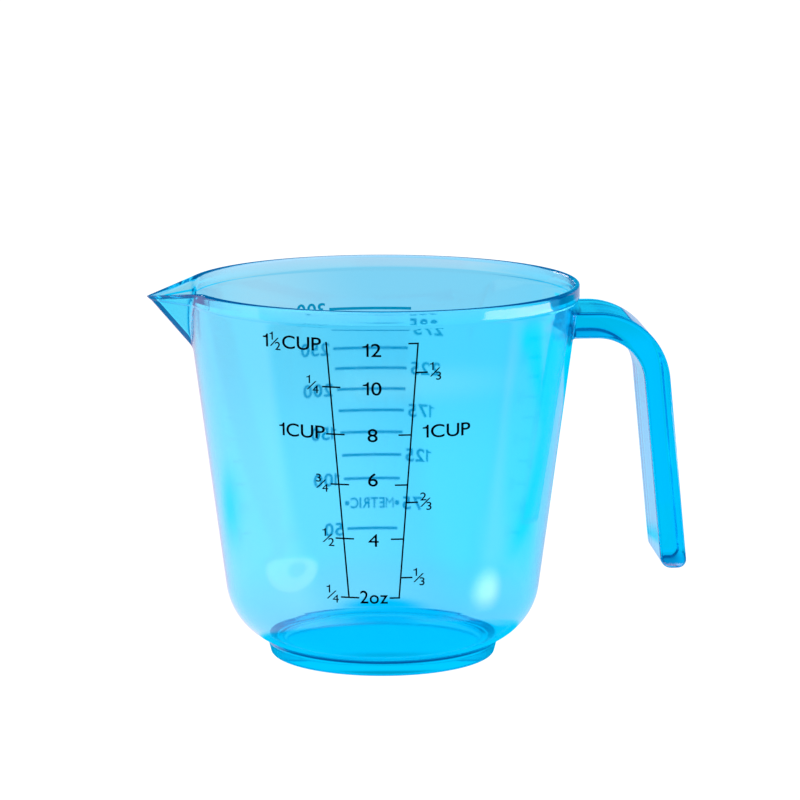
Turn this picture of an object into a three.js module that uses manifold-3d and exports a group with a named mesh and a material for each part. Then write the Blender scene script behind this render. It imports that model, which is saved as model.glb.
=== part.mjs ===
// A measuring cup of clear tinted plastic, in millimetres, with +Z up.
// The spout points to -X and the handle to +X. The ounce scale faces -Y and the metric scale faces +Y.
// The origin is on the table, midway between the tip of the spout and the back of the handle.

import * as THREE from 'three';
import { ConvexGeometry } from 'three/addons/geometries/ConvexGeometry.js';
import { mergeVertices } from 'three/addons/utils/BufferGeometryUtils.js';
import Module from 'manifold-3d';

// Bowl
const rimHeight = 88; // table to the top of the rim
const wallBaseRadius = 34.7; // outer wall line carried down to the table
const wallFlareAngle = 7.46; // degrees from upright
const wallThickness = 1.6;
const floorThickness = 1.05;
const cornerRadius = 15.5; // outer round between the wall and the floor

// Foot ring
const footHeight = 2.75; // table to the underside of the floor
const footTopRadius = 27;
const footTaper = 0.7; // how much the ring's outside draws in on its way down
const footWidth = 2.4;
const footRound = 0.7; // round on the ring's outer lower edge

// Rim band
const bandHeight = 4;
const bandProud = 0.25; // how far the band stands out from the wall below it
const lipThickness = 1.1; // the band thins to this on its way up
const lipRound = 0.5; // round on both edges of the lip

// Pouring spout
const spoutReach = 9.05; // outside of the band to the tip
const spoutHalfAngle = 21; // degrees round the rim from the spout's middle to where its sides begin
const spoutDrop = 2.7; // how far the tip lies below the rim
const spoutDepth = 15; // top of the rim to the foot of the spout's keel
const spoutThickness = 1.6;
const spoutMargin = 2; // plain wall kept round the spout, on its own piece

// Handle
const handleDrop = 2.2; // underside of the band to the top of the handle
const handleWidth = 23.5;
const handleThickness = 6;
const handleBend = 11.2; // inner radius of the bend
const handleLeanAngle = 5.6; // degrees from upright, outwards on the way down
const handleEndHeight = 21.1; // table to the lower end of the grip
const handleEndRound = 1.6;
const handleEdgeRound = 1.1;
const fingerGap = 17.3; // wall to grip, at the height where the bend begins

// Printed scales
const topMarkDrop = 7.35; // top of the rim to the highest mark on the ounce scale
const topMarkOunces = 12;
const millilitresPerOunce = 29.5735;
const ounceMarks = [10, 8, 6, 4, 2];
const innerTickOunces = [8, 6, 4];
const endTickOunces = [12, 2];
const thirdCupOunces = [32 / 3, 16 / 3, 8 / 3];
const metricMarks = [50, 100, 125, 150, 175, 200, 225, 250, 275, 300];
const ounceScaleTurn = 7; // degrees from -Y towards the spout
const metricScaleLift = 2.9; // how far the metric print sits above the true volumes
const metricScaleStretch = 0.8; // how much further its highest bar sits above them
const scaleHalfWidthTop = 10.3; // middle of the ounce scale to its side lines, at the highest mark
const scaleHalfWidthLow = 5.7; // the same at the lowest mark
const tickOutside = 1.7;
const tickInside = 2.2;
const innerTick = 2.7;
const endTick = 2; // the inner ticks at the highest and the lowest mark
const thirdTick = 2.5;
const lineWidth = 0.35;
const metricLineWidth = 0.65;
const metricHalfWidthLow = 6; // half length of the 50 ml bar
const metricHalfWidthTop = 9.9; // half length of the 300 ml bar
const inkThickness = 0.1;
const inkGap = 0.05; // ink to the true round of the wall

// Fits and fineness
const jointGap = 0.2; // left where a piece is cut to fit its neighbour
const roundSegments = 72;
const bendDivisions = 6; // fineness of the base corner and the handle's outline
const edgeDivisions = 2; // fineness of the small rounds on edges
const inkStep = 3; // length of one straight piece of a wrapped stroke
const sliceHeight = 0.05; // step of the volume sum

// Heights and radii that follow from those sizes
const bandBottom = rimHeight - bandHeight;
const floorTop = footHeight + floorThickness;
const footBottomRadius = footTopRadius - footTaper;
const wallAngle = THREE.MathUtils.degToRad(wallFlareAngle);
const wallFlare = Math.tan(wallAngle);
const flareLength = 1 / Math.cos(wallAngle);
const wallRadius = (z) => wallBaseRadius + wallFlare * z;
const innerRadius = (z) => wallRadius(z) - wallThickness * flareLength;
const bandRadius = wallRadius(bandBottom) + bandProud;
const lipRadius = bandRadius - lipThickness;
const innerCorner = cornerRadius - wallThickness;
const outerCornerZ = footHeight + cornerRadius;
const outerCornerR = wallRadius(outerCornerZ) - cornerRadius * flareLength;
const innerCornerZ = floorTop + innerCorner;
const innerCornerR = innerRadius(innerCornerZ) - innerCorner * flareLength;
const baseTop = innerCornerZ;

const wasm = await Module();
wasm.setup();

const plastic = new THREE.MeshStandardMaterial({
  color: 0x22c4f7,
  roughness: 0.05,
  metalness: 0,
  transparent: true,
  opacity: 0.5,
});
const ounceInk = new THREE.MeshStandardMaterial({ color: 0x10142a, roughness: 0.6, metalness: 0 });
const metricInk = new THREE.MeshStandardMaterial({ color: 0x1a6c94, roughness: 0.6, metalness: 0 });

// A closed geometry becomes a solid that can be joined and cut.
function solidOf(geometry) {
  const bare = geometry.clone();
  bare.deleteAttribute('normal');
  bare.deleteAttribute('uv');
  const merged = mergeVertices(bare);
  const corners = [];
  for (let i = 0; i < merged.index.count; i += 3) {
    const [a, b, c] = [0, 1, 2].map((k) => merged.index.getX(i + k));
    if (a !== b && b !== c && c !== a) corners.push(a, b, c);
  }
  const vertProperties = new Float32Array(merged.attributes.position.array);
  return new wasm.Manifold(new wasm.Mesh({ numProp: 3, vertProperties, triVerts: new Uint32Array(corners) }));
}

function geometryOf(solid) {
  const mesh = solid.getMesh();
  const geometry = new THREE.BufferGeometry();
  geometry.setAttribute('position', new THREE.BufferAttribute(new Float32Array(mesh.vertProperties), 3));
  geometry.setIndex(new THREE.BufferAttribute(new Uint32Array(mesh.triVerts), 1));
  geometry.computeVertexNormals();
  return geometry;
}

// Corners given as [across, up, round] become an outline whose rounds are arcs.
function roundedOutline(corners) {
  const shape = new THREE.Shape();
  corners.forEach(([x, y, round], i) => {
    const here = new THREE.Vector2(x, y);
    const [px, py] = corners[(i + corners.length - 1) % corners.length];
    const [nx, ny] = corners[(i + 1) % corners.length];
    const back = new THREE.Vector2(px, py).sub(here).normalize();
    const ahead = new THREE.Vector2(nx, ny).sub(here).normalize();
    const half = Math.acos(back.dot(ahead)) / 2;
    const start = here.clone().addScaledVector(back, round / Math.tan(half));
    if (i === 0) shape.moveTo(start.x, start.y);
    else shape.lineTo(start.x, start.y);
    if (round > 0) {
      const centre = here.clone().addScaledVector(back.clone().add(ahead).normalize(), round / Math.sin(half));
      const end = here.clone().addScaledVector(ahead, round / Math.tan(half));
      const from = start.sub(centre).angle();
      const to = end.sub(centre).angle();
      shape.absarc(centre.x, centre.y, round, from, to, back.cross(ahead) > 0);
    }
  });
  shape.closePath();
  return shape;
}

// An outline of [radius, height] points turns about the cup's axis.
function turned(path, divisions = edgeDivisions) {
  const lathe = new THREE.LatheGeometry(path.getPoints(divisions), roundSegments);
  return solidOf(lathe.rotateX(Math.PI / 2));
}

function polygonPath(points) {
  return new THREE.Path(points.map(([x, y]) => new THREE.Vector2(x, y)));
}

// Rim profile: the band and its rounded lip, with what lies below them outside and inside.
function rimCorners(outerLow, innerLow) {
  return [
    ...outerLow,
    [bandRadius, bandBottom, 0],
    [bandRadius, rimHeight, lipRound],
    [lipRadius, rimHeight, lipRound],
    [innerRadius(bandBottom), bandBottom, 0],
    ...innerLow,
  ];
}

// The bowl's rounded base, up to the height where both of its rounds have run into the wall.
function baseSolid() {
  const neck = Math.max(0, footTopRadius - outerCornerR) / cornerRadius;
  const path = new THREE.Path();
  path.moveTo(0, footHeight);
  path.lineTo(footTopRadius, footHeight);
  path.absarc(outerCornerR, outerCornerZ, cornerRadius, Math.asin(neck) - Math.PI / 2, -wallAngle, false);
  path.lineTo(wallRadius(baseTop), baseTop);
  path.lineTo(innerRadius(baseTop), baseTop);
  path.absarc(innerCornerR, innerCornerZ, innerCorner, -wallAngle, -Math.PI / 2, true);
  path.lineTo(0, floorTop);
  return turned(path, bendDivisions);
}

function wallSolid() {
  const outline = roundedOutline([
    [wallRadius(baseTop), baseTop, 0],
    [wallRadius(bandBottom), bandBottom, 0],
    [innerRadius(bandBottom), bandBottom, 0],
    [innerRadius(baseTop), baseTop, 0],
  ]);
  return turned(outline).subtract(spoutSector(0));
}

function bandSolid() {
  return turned(roundedOutline(rimCorners([], []))).subtract(spoutSector(0));
}

function footSolid() {
  const inside = footBottomRadius - footWidth;
  return turned(roundedOutline([
    [inside, 0, 0],
    [footBottomRadius, 0, footRound],
    [footTopRadius, footHeight, 0],
    [inside, footHeight, 0],
  ]));
}

// Points of the spout's outside: keel foot on the wall, tip, and the two corners on the rim.
const keelZ = rimHeight - spoutDepth;
const keel = new THREE.Vector3(-wallRadius(keelZ), 0, keelZ);
const tip = new THREE.Vector3(bandProud - bandRadius - spoutReach, 0, rimHeight - spoutDrop);
const rimTurn = THREE.MathUtils.degToRad(spoutHalfAngle);
const rimCorner = new THREE.Vector3(
  bandProud - bandRadius * Math.cos(rimTurn),
  bandRadius * Math.sin(rimTurn),
  rimHeight,
);
const sideNormal = new THREE.Vector3().crossVectors(
  rimCorner.clone().sub(tip),
  keel.clone().sub(tip),
).normalize();
const seamZ = keelZ - spoutMargin;
const seamTurn = rimTurn + spoutMargin / bandRadius;

// The spout's wedge, moved out by a step along -X and raised along its keel.
function spoutWedge(step, rise) {
  const lift = tip.clone().sub(keel).normalize().multiplyScalar(rise);
  const out = new THREE.Vector3(-step, 0, 0);
  const inward = new THREE.Vector3(spoutDepth, 0, 0);
  const otherCorner = rimCorner.clone().setY(-rimCorner.y);
  const rim = [rimCorner, otherCorner].map((p) => p.clone().add(lift));
  const points = [keel.clone(), tip.clone().add(lift), ...rim];
  const inner = [keel.clone(), ...rim].map((p) => p.clone().add(inward));
  return solidOf(new ConvexGeometry([...points, ...inner].map((p) => p.clone().add(out))));
}

// The part of the cup that belongs to the spout's piece, drawn in by a gap on its three sides.
function spoutSector(gap) {
  const reach = 2 * bandRadius;
  const apex = -gap / Math.sin(seamTurn);
  const side = reach * Math.tan(seamTurn);
  const outline = new THREE.Shape();
  outline.moveTo(apex, 0);
  outline.lineTo(apex - reach, side);
  outline.lineTo(apex - reach, -side);
  outline.closePath();
  const prism = new THREE.ExtrudeGeometry(outline, { depth: rimHeight, bevelEnabled: false });
  return solidOf(prism.translate(0, 0, seamZ + gap));
}

function spoutSolid() {
  const low = seamZ - spoutMargin;
  const wall = [low, bandBottom].map((z) => [wallRadius(z), z, 0]);
  const collar = turned(roundedOutline(rimCorners(wall, [[innerRadius(low), low, 0]])));
  const inside = turned(polygonPath([
    [0, low],
    [innerRadius(low), low],
    [innerRadius(bandBottom), bandBottom],
    [lipRadius, rimHeight],
    [lipRadius, 2 * rimHeight],
    [0, 2 * rimHeight],
  ]));
  const slab = new THREE.BoxGeometry(4 * bandRadius, 4 * bandRadius, rimHeight);
  const aboveBand = solidOf(slab.translate(0, 0, bandBottom + rimHeight / 2));
  const lip = spoutWedge(bandProud, 0).intersect(aboveBand);
  const channel = spoutWedge(-spoutThickness / Math.abs(sideNormal.x), spoutDepth);
  const outside = collar.add(spoutWedge(0, 0)).add(lip);
  return outside.subtract(inside).subtract(channel).intersect(spoutSector(jointGap));
}

function handleSolid() {
  const top = bandBottom - handleDrop;
  const under = top - handleThickness;
  const bendZ = under - handleBend;
  const handleLean = Math.tan(THREE.MathUtils.degToRad(handleLeanAngle));
  const leanLength = Math.hypot(1, handleLean);
  const grip = wallRadius(bendZ) + fingerGap;
  const back = grip + handleThickness * leanLength;
  const gripAt = (z) => grip + handleLean * (bendZ - z);
  const backAt = (z) => back + handleLean * (bendZ - z);
  const root = wallRadius(under) - cornerRadius;
  const outline = roundedOutline([
    [root, top, 0],
    [root, under, 0],
    [gripAt(under), under, handleBend],
    [gripAt(handleEndHeight), handleEndHeight, handleEndRound],
    [backAt(handleEndHeight), handleEndHeight, handleEndRound],
    [backAt(top), top, handleBend + handleThickness],
  ]);
  const bar = new THREE.ExtrudeGeometry(outline, {
    depth: handleWidth - 2 * handleEdgeRound,
    curveSegments: bendDivisions,
    bevelThickness: handleEdgeRound,
    bevelSize: handleEdgeRound,
    bevelOffset: -handleEdgeRound,
    bevelSegments: edgeDivisions,
  });
  bar.rotateX(Math.PI / 2).translate(0, handleWidth / 2 - handleEdgeRound, 0);
  const wall = turned(polygonPath([
    [0, 0],
    [wallRadius(0) + jointGap * flareLength, 0],
    [wallRadius(rimHeight) + jointGap * flareLength, rimHeight],
    [0, rimHeight],
  ]));
  return solidOf(bar).subtract(wall);
}

// Radius of the inside at a height: the base corner's round, then the sloping wall.
function insideRadius(z) {
  const below = innerCornerZ - z;
  if (below < innerCorner * Math.sin(wallAngle)) return innerRadius(z);
  return innerCornerR + Math.sqrt(Math.max(0, innerCorner ** 2 - below ** 2));
}

// Height at which the cup holds a share of what it holds at the highest mark.
function heightOfShare(share) {
  const slice = (z) => Math.PI * insideRadius(z) ** 2 * sliceHeight;
  let full = 0;
  for (let z = floorTop; z < rimHeight - topMarkDrop; z += sliceHeight) full += slice(z);
  let held = 0;
  let z = floorTop;
  while (held < share * full) {
    held += slice(z);
    z += sliceHeight;
  }
  return z;
}

const ounceHeight = (ounces) => heightOfShare(ounces / topMarkOunces);
function metricHeight(ml) {
  const up = THREE.MathUtils.mapLinear(ml, metricMarks[0], metricMarks.at(-1), 0, 1);
  const trueHeight = heightOfShare(ml / (topMarkOunces * millilitresPerOunce));
  return trueHeight + metricScaleLift + metricScaleStretch * up ** 2;
}

// A straight printed stroke between two points of the flat artwork, wrapped onto the wall.
function inkStroke(turn, from, to, width) {
  const run = new THREE.Vector2(to[0] - from[0], to[1] - from[1]);
  const steps = Math.max(2, Math.ceil(run.length() / inkStep));
  const strip = new THREE.BoxGeometry(run.length() + width, width, inkThickness, steps, 1, 1);
  const along = run.normalize();
  const places = strip.attributes.position;
  for (let i = 0; i < places.count; i += 1) {
    const across = (from[0] + to[0]) / 2 + along.x * places.getX(i) - along.y * places.getY(i);
    const z = (from[1] + to[1]) / 2 + along.y * places.getX(i) + along.x * places.getY(i);
    const radius = wallRadius(z) + inkGap + inkThickness / 2 + places.getZ(i);
    const angle = turn + across / wallRadius(z);
    places.setXYZ(i, radius * Math.cos(angle), radius * Math.sin(angle), z);
  }
  return solidOf(strip);
}

const ounceTurn = -Math.PI / 2 - THREE.MathUtils.degToRad(ounceScaleTurn);
const metricTurn = Math.PI / 2;
const scaleTop = ounceHeight(topMarkOunces);
const scaleLow = ounceHeight(ounceMarks.at(-1));
const scaleHalfWidth = (z) => THREE.MathUtils.mapLinear(z, scaleLow, scaleTop, scaleHalfWidthLow, scaleHalfWidthTop);

// A side line of the ounce scale and its ticks, on the left (side -1) or the right (side 1).
function scaleLine(side, ticks) {
  let line = inkStroke(
    ounceTurn,
    [side * scaleHalfWidthLow, scaleLow],
    [side * scaleHalfWidthTop, scaleTop],
    lineWidth,
  );
  for (const { ounces, outside, inside } of ticks) {
    const z = ounceHeight(ounces);
    const ends = [-inside, outside].map((reach) => side * (scaleHalfWidth(z) + reach)).sort((a, b) => a - b);
    line = line.add(inkStroke(ounceTurn, [ends[0], z], [ends[1], z], lineWidth));
  }
  return line;
}

function metricBar(ml) {
  const z = metricHeight(ml);
  const half = THREE.MathUtils.mapLinear(
    ml,
    metricMarks[0],
    metricMarks.at(-1),
    metricHalfWidthLow,
    metricHalfWidthTop,
  );
  return inkStroke(metricTurn, [-half, z], [half, z], metricLineWidth);
}

const cup = new THREE.Group();

function addPiece(name, solid, material) {
  const mesh = new THREE.Mesh(geometryOf(solid), material);
  mesh.name = name;
  cup.add(mesh);
}

addPiece('bowl_wall', wallSolid(), plastic);
addPiece('bowl_base', baseSolid(), plastic);
addPiece('rim_band', bandSolid(), plastic);
addPiece('pouring_spout', spoutSolid(), plastic);
addPiece('handle', handleSolid(), plastic);
addPiece('foot_ring', footSolid(), plastic);

const leftTicks = ounceMarks.map((ounces) => ({ ounces, outside: tickOutside, inside: tickInside }));
const rightTicks = [
  ...innerTickOunces.map((ounces) => ({ ounces, outside: 0, inside: innerTick })),
  ...endTickOunces.map((ounces) => ({ ounces, outside: 0, inside: endTick })),
  ...thirdCupOunces.map((ounces) => ({ ounces, outside: thirdTick, inside: 0 })),
];
addPiece('ounce_line_left', scaleLine(-1, leftTicks), ounceInk);
addPiece('cup_line_right', scaleLine(1, rightTicks), ounceInk);
for (const ml of metricMarks) {
  addPiece(`metric_mark_${String(ml).padStart(3, '0')}`, metricBar(ml), metricInk);
}

const span = new THREE.Box3().setFromObject(cup);
cup.position.x = -(span.min.x + span.max.x) / 2;

export default cup;
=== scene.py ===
"""A measuring cup of clear tinted plastic: its moulding, its printed scales and a studio stage."""

import math
from typing import NamedTuple

import bpy
import numpy as np
from bpy.props import FloatProperty, PointerProperty, StringProperty
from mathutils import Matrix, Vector


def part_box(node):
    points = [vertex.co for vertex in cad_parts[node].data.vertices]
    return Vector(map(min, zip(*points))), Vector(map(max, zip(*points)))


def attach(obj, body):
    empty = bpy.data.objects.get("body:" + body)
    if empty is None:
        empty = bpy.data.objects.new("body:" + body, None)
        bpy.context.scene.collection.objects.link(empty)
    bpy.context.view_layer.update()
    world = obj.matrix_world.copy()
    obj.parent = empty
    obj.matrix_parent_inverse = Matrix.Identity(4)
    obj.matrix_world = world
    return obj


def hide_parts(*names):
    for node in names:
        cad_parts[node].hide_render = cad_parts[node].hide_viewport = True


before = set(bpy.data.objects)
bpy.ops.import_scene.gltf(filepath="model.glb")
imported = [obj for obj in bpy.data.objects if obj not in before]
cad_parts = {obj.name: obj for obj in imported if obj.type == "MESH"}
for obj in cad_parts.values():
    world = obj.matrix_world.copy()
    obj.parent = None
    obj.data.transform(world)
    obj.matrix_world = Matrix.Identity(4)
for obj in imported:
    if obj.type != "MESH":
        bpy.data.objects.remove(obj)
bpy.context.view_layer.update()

bl_info = {
    "name": "Measuring Cup",
    "version": (1, 0, 0),
    "blender": (4, 5, 0),
    "location": "3D View > Sidebar > Measuring Cup",
    "description": "Builds a clear measuring cup with printed scales on a pale studio table",
    "category": "Add Mesh",
}

MM = 0.001

# Places that the frame gives

FOOT_LOW, FOOT_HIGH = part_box("foot_ring")
WALL_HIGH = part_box("bowl_wall")[1]
BAND_LOW, BAND_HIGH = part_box("rim_band")
SPOUT_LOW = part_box("pouring_spout")[0]
HANDLE_LOW, HANDLE_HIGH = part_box("handle")
AXIS_X = (FOOT_LOW.x + FOOT_HIGH.x) / 2
MOULDED_NODES = ("bowl_wall", "bowl_base", "rim_band", "pouring_spout", "handle", "foot_ring")
OUNCE_NODES = ("ounce_line_left", "cup_line_right")
METRIC_NODES = tuple(sorted(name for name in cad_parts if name.startswith("metric_mark")))


# Sizes and colours that a user would change

def length(name, description, default):
    return FloatProperty(name=name, description=description, default=default, unit="LENGTH", precision=5)


def angle(name, description, degrees):
    return FloatProperty(name=name, description=description, default=math.radians(degrees), subtype="ANGLE")


def amount(name, description, default):
    return FloatProperty(name=name, description=description, default=default)


def swatch(name, description, hex_colour):
    return StringProperty(name=name, description=f"{description}, sRGB hex", default=hex_colour)


class CupSizes(bpy.types.PropertyGroup):
    """Sizes of the moulding, in the frame's metres."""

    rim_height: length("Rim height", "Table to the top of the rim", BAND_HIGH.z)
    band_bottom: length("Band bottom", "Table to the lower edge of the rim band", BAND_LOW.z)
    band_radius: length("Band radius", "Outside of the rim band", BAND_HIGH.y)
    band_ramp: length("Band ramp", "Height over which the band stands out from the wall", 0.9 * MM)
    lip_thickness: length("Lip thickness", "The band thins to this on its way up", 1.1 * MM)
    lip_round: length("Lip round", "Round on both edges of the lip", 0.5 * MM)
    wall_top_radius: length("Wall top radius", "Outside of the wall just under the band", WALL_HIGH.y)
    wall_flare: angle("Wall flare", "Slope of the wall from upright", 7.46)
    wall_thickness: length("Wall thickness", "Thickness of the moulded wall", 1.6 * MM)
    floor_thickness: length("Floor thickness", "Thickness of the bowl's floor", 1.05 * MM)
    corner_radius: length("Corner radius", "Outer round between the wall and the floor", 15.5 * MM)
    foot_height: length("Foot height", "Table to the underside of the floor", FOOT_HIGH.z)
    foot_radius: length("Foot radius", "Outside of the foot ring at its top", FOOT_HIGH.y)
    foot_taper: length("Foot taper", "How much the foot ring draws in on its way down", 0.7 * MM)
    foot_width: length("Foot width", "Width of the ring that stands on the table", 2.4 * MM)
    spout_thickness: length("Spout thickness", "Thickness of the spout's two sides", 1.8 * MM)
    spout_reach: length("Spout reach", "Cup's axis to the tip of the spout", AXIS_X - SPOUT_LOW.x)
    spout_half_angle: angle("Spout half angle", "Spout's middle to where its sides leave the rim", 21)
    spout_drop: length("Spout drop", "How far the tip lies below the rim", 2.7 * MM)
    spout_depth: length("Spout depth", "Top of the rim to the foot of the keel", 15.0 * MM)
    handle_top: length("Handle top", "Table to the top of the handle", HANDLE_HIGH.z)
    handle_end: length("Handle end", "Table to the lower end of the grip", HANDLE_LOW.z)
    handle_width: length("Handle width", "Width of the bar, front to back", HANDLE_HIGH.y - HANDLE_LOW.y)
    handle_thickness: length("Handle thickness", "Thickness of the bar", 6.0 * MM)
    handle_bend: length("Handle bend", "Inner radius of the bend", 11.2 * MM)
    handle_lean: angle("Handle lean", "Slope of the grip from upright", 5.6)
    handle_edge_round: length("Handle edge round", "Round on the bar's long edges", 0.7 * MM)
    handle_end_round: length("Handle end round", "Round on the bar's lower end", 2.2 * MM)
    handle_root_fillet: length("Handle root fillet", "Fillet where the bar meets the wall", 0.9 * MM)
    finger_gap: length("Finger gap", "Wall to grip where the bend begins", 17.3 * MM)


class PrintSizes(bpy.types.PropertyGroup):
    """Sizes of the printed letters and figures."""

    letter_height: length("Letter height", "Height of a capital or a figure", 3.0 * MM)
    word_height: length("Word height", "Height of the small word on the metric scale", 2.5 * MM)
    metric_gap: length("Metric gap", "Space between a metric bar and its figures", 1.1 * MM)
    ounce_turn: angle("Ounce print turn", "How far the ounce scale is turned towards the spout", 7)
    film_gap: length("Film gap", "Wall to the inside of the ink", 0.05 * MM)
    film: length("Film", "Thickness of the ink", 0.1 * MM)


class CupFinish(bpy.types.PropertyGroup):
    """Colours and gloss of the plastic and the inks."""

    plastic_ior: amount("Plastic IOR", "Refraction of the clear plastic", 1.57)
    plastic_density: amount("Tint density", "How strongly the plastic takes up red light, per metre", 540.0)
    plastic_tint: swatch("Tint", "What the plastic lets through", "#00FCFE")
    # Painted glow: the plastic gives off a faint blue light at every face, which keeps its edges blue.
    plastic_glow: amount("Glow", "Light that the dye sends on at each face", 0.05)
    glow_colour: swatch("Glow colour", "Colour of that light", "#0096FF")
    ounce_ink: swatch("Ounce ink", "Colour of the front print", "#030407")
    metric_ink: swatch("Metric ink", "Colour of the back print", "#009CAE")


class CupStage(bpy.types.PropertyGroup):
    """Camera, table and lights."""

    camera_distance: length("Camera distance", "Level distance from the cup's axis", 902.9 * MM)
    camera_height: length("Camera height", "Height of the lens above the table", 220.5 * MM)
    camera_turn: angle("Camera turn", "How far the camera stands round towards the spout", 4.0)
    camera_aim: angle("Camera aim", "How far the camera looks past the cup's axis", 0.26)
    camera_pitch: angle("Camera pitch", "How far the camera looks down", 10.08)
    camera_lens: FloatProperty(
        name="Camera lens", description="Focal length, mm", default=176.2, unit="CAMERA")
    ground_light: amount("Ground light", "Brightness of the white ground", 1.1)
    table_glow: amount("Table glow", "Light given by the table", 1.05)
    table_colour: swatch("Table colour", "Light of the table", "#FFE4F6")
    right_colour: swatch("Right colour", "Light on the handle's side", "#C8F4FF")
    back_colour: swatch("Back colour", "Light far behind the cup", "#F2D6E4")
    thrown_colour: swatch("Thrown colour", "Tinted light that the cup throws", "#00D8FF")
    under_colour: swatch("Under colour", "Light under the cup", "#00C8F7")
    front_colour: swatch("Front colour", "Dim light ahead of the cup and far to its right", "#0060A8")
    pad_colour: swatch("Pad colour", "Light of the low pad on the right", "#FFD4E0")
    room_light: amount("Room light", "Light of the room around the table", 1.0)
    room_low: swatch("Room low", "Room just above the table", "#20D4FF")
    room_high: swatch("Room high", "Room overhead", "#003F7C")


# Small helpers

def linear(hex_colour):
    """An sRGB hex value as linear red, green and blue."""
    parts = [int(hex_colour[i:i + 2], 16) / 255 for i in (1, 3, 5)]
    return [c / 12.92 if c <= 0.04045 else ((c + 0.055) / 1.055) ** 2.4 for c in parts]


def add_node(tree, kind, settings=None, inputs=None, links=None):
    """One node with its settings, its socket values and the sockets that feed it."""
    node = tree.nodes.new(kind)
    for name, value in (settings or {}).items():
        setattr(node, name, value)
    for name, value in (inputs or {}).items():
        node.inputs[name].default_value = value
    for name, source in (links or {}).items():
        tree.links.new(source, node.inputs[name])
    return node


def new_material(name):
    material = bpy.data.materials.new(name)
    material.use_nodes = True
    material.node_tree.nodes.clear()
    return material


def new_piece(name, vertices, faces, material):
    """A mesh that rides with the cup's root body and takes the given material."""
    mesh = bpy.data.meshes.new(name)
    mesh.from_pydata([tuple(v) for v in vertices], [], faces)
    mesh.update()
    mesh.validate()
    piece = bpy.data.objects.new(name, mesh)
    bpy.context.scene.collection.objects.link(piece)
    mesh.materials.append(material)
    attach(piece, "root")
    return piece


def smooth_max(a, b, blend):
    """The larger of two radii, with a fillet where they cross."""
    near = np.maximum(blend - np.abs(a - b), 0) / blend
    return np.maximum(a, b) + near * near * blend / 4


def rounded_line(corners, steps=4):
    """Corners given as (across, up, round) become points, with an arc at each round."""
    points = []
    for i, (x, y, radius) in enumerate(corners):
        here = np.array([x, y])
        if radius == 0:
            points.append(here)
            continue
        back = np.array(corners[i - 1][:2]) - here
        ahead = np.array(corners[i + 1][:2]) - here
        back, ahead = back / np.linalg.norm(back), ahead / np.linalg.norm(ahead)
        half = math.acos(np.clip(back @ ahead, -1, 1)) / 2
        middle = (back + ahead) / np.linalg.norm(back + ahead)
        centre = here + middle * radius / math.sin(half)
        sweep = math.pi / 2 - half
        side = np.array([-middle[1], middle[0]])
        turn = 1 if side @ back > 0 else -1
        for k in range(steps + 1):
            a = sweep * (1 - 2 * k / steps) * turn
            points.append(centre + radius * (-middle * math.cos(a) + side * math.sin(a)))
    return points


def braced(points):
    """Points with two more near the ends of each long straight, so that smooth shading keeps it flat."""
    long, near = 0.8 * MM, 0.12
    close = [points[0]]
    for start, end in zip(points, points[1:]):
        if np.linalg.norm(end - start) > long:
            close += [start + (end - start) * share for share in (near, 1 - near)]
        close.append(end)
    return close


# The moulding

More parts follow.
